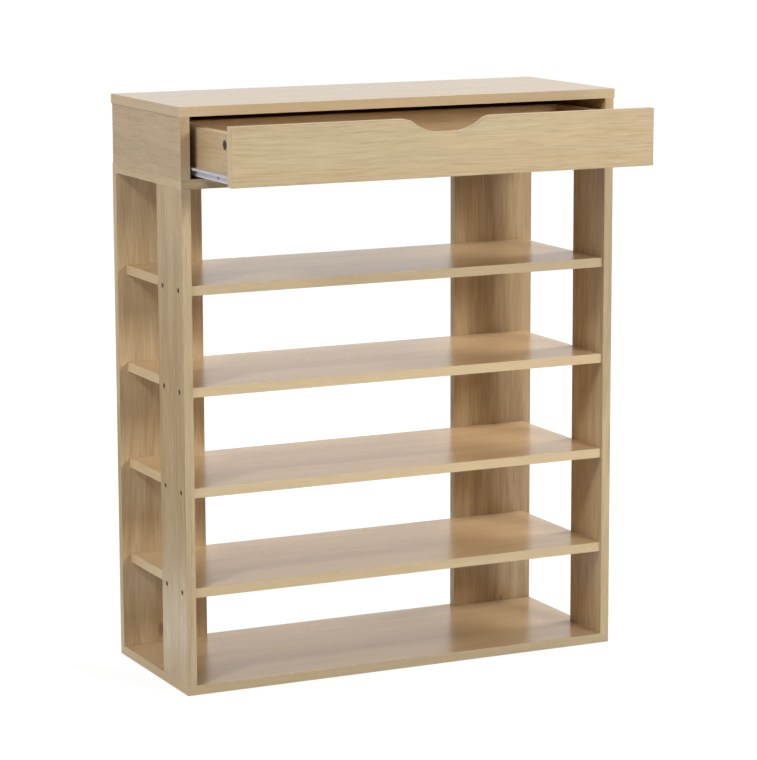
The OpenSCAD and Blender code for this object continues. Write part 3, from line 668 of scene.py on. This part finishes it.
def fittingMaterial(name, look, relief):
    material, tree, shader = startMaterial(name)
    place = addNode(tree, "ShaderNodeTexCoord").outputs["Object"]
    inputs = {"Place": place, "Grain": look["grain"], "Stains": look["stains"], "Lines": look["lines"]}
    worn = useGroup(tree, tarnish, inputs)
    feed(tree, shader.inputs["Base Color"], mixColour(tree, "MULTIPLY", 1.0, worn["Shade"], look["colour"]))
    shader.inputs["Metallic"].default_value = look["metallic"]
    feed(tree, shader.inputs["Roughness"], calc(tree, "ADD", worn["Roughness"], look["roughness"]))
    setRelief(tree, shader, relief["bump"], relief["depth"], worn["Height"])
    return material


for fittingName, fittingLook in fittingLooks.items():
    fittingFinish = fittingMaterial(fittingName, fittingLook, fittingRelief)
    for nodeName in fittingLook["nodes"]:
        setMaterial(cadNodes[nodeName], fittingFinish)
        if "round" in fittingLook:
            softenEdges(cadNodes[nodeName], fittingLook["round"])
print("fittings dressed:", len(fittingLooks), "finishes")

studio = {
    "floorSize": 80.0,
    "floorDrop": 0.0005,  # metres below the rack, so that no two faces lie in one plane
    "floorBounce": (0.42, 0.66),  # the floor's colour for the light it throws back, near and far
    "floorSeen": 0.14,  # its colour as it is seen, under the glow that makes it white
    "floorGlow": (0.91, 0.99),  # near the rack and far away
    "floorMirrored": (1.50, 0.12, 1.50),  # its colour in the boards' gloss: near, between the rings and far
    "nearRing": (0.5, 1.3),  # metres from the middle
    "farRing": (3.7, 4.9),
    "light": (0.13, 0.42),  # of the surroundings, in front of the rack and behind it
    "mirrored": (0.35, 1.04),  # the same in the boards' gloss
    "turnsBehind": (-0.4, 0.5),  # how far a direction leans along Y where the front ends and the rear begins
}

# Square lamps: places and sizes in metres, power in watts
lampAim = (0.0, 0.0, 0.45)
lamps = {
    "rightSide": {"place": (3.32, 0.35, 2.75), "size": 1.4, "power": 98.0},
    "leftFront": {"place": (-2.73, -1.58, 2.91), "size": 0.5, "power": 40.0},
    "leftSide": {"place": (-3.91, -0.3, 1.28), "size": 0.5, "power": 28.0},
    "rightFront": {"place": (1.40, -3.45, 1.82), "size": 0.9, "power": 69.0},
    "rear": {"place": (0.4, 3.13, 2.91), "size": 1.8, "power": 22.0},
}


def lightRays(tree):  # 1 for what the camera sees, also through glass, and 1 for what gloss mirrors
    rays = addNode(tree, "ShaderNodeLightPath").outputs
    seen = calc(tree, "MAXIMUM", rays["Is Camera Ray"], rays["Is Transmission Ray"])
    return seen, rays["Is Glossy Ray"]


def floorMaterial(look):
    material = bpy.data.materials.new("floorWhite")
    tree = emptyTree(material)
    seen, glossy = lightRays(tree)
    place = addNode(tree, "ShaderNodeTexCoord").outputs["Object"]
    away = addNode(tree, "ShaderNodeVectorMath", {"operation": "LENGTH"}, {0: place}).outputs["Value"]
    far = ramp(tree, away, *look["nearRing"])
    farther = ramp(tree, away, *look["farRing"])
    nearMirrored, ringMirrored, farMirrored = look["floorMirrored"]
    mirrored = mixValue(tree, farther, mixValue(tree, far, nearMirrored, ringMirrored), farMirrored)
    shade = mixValue(tree, glossy, mixValue(tree, far, *look["floorBounce"]), mirrored)
    shade = mixValue(tree, seen, shade, look["floorSeen"])
    diffuse = addNode(tree, "ShaderNodeBsdfDiffuse", None, {"Color": grey(tree, shade)})
    strength = times(tree, seen, mixValue(tree, far, *look["floorGlow"]))
    glow = addNode(tree, "ShaderNodeEmission", None, {"Strength": strength})
    both = addNode(tree, "ShaderNodeAddShader", None, {0: diffuse.outputs[0], 1: glow.outputs[0]})
    addNode(tree, "ShaderNodeOutputMaterial", None, {0: both.outputs[0]})
    return material


def buildFloor(look):
    bm = bmesh.new()
    bmesh.ops.create_grid(bm, x_segments=1, y_segments=1, size=look["floorSize"] / 2)
    bmesh.ops.translate(bm, verts=bm.verts, vec=(0, 0, -look["floorDrop"]))
    mesh = bpy.data.meshes.new("floor")
    bm.to_mesh(mesh)
    bm.free()
    floor = bpy.data.objects.new("floor", mesh)
    bpy.context.collection.objects.link(floor)
    floor.data.materials.append(floorMaterial(look))


def buildSurroundings(look):
    world = bpy.data.worlds.new("studio")
    tree = emptyTree(world)
    seen, glossy = lightRays(tree)
    heading = separate(tree, addNode(tree, "ShaderNodeTexCoord").outputs["Generated"])
    behind = ramp(tree, heading["Y"], *look["turnsBehind"])
    light = mixValue(tree, behind, *look["light"])
    mirrored = mixValue(tree, behind, *look["mirrored"])
    strength = mixValue(tree, seen, mixValue(tree, glossy, light, mirrored), 1.0)  # seen at 1, which is white
    background = addNode(tree, "ShaderNodeBackground", None, {"Color": (1, 1, 1, 1), "Strength": strength})
    addNode(tree, "ShaderNodeOutputWorld", None, {0: background.outputs[0]})
    bpy.context.scene.world = world


def addLamp(name, look):
    data = bpy.data.lights.new(name, "AREA")
    data.shape = "SQUARE"
    data.size = look["size"]
    data.energy = look["power"]
    lamp = bpy.data.objects.new(name, data)
    bpy.context.collection.objects.link(lamp)
    lamp.matrix_world = aimed(look["place"], Vector(lampAim) - Vector(look["place"]))
    lamp.visible_glossy = False  # the boards' gloss mirrors the surroundings and no lamp


buildFloor(studio)
buildSurroundings(studio)
for lampName, lampLook in lamps.items():
    addLamp(lampName, lampLook)
bpy.context.scene.view_settings.view_transform = "Standard"
print("studio ready:", len(lamps), "lamps")
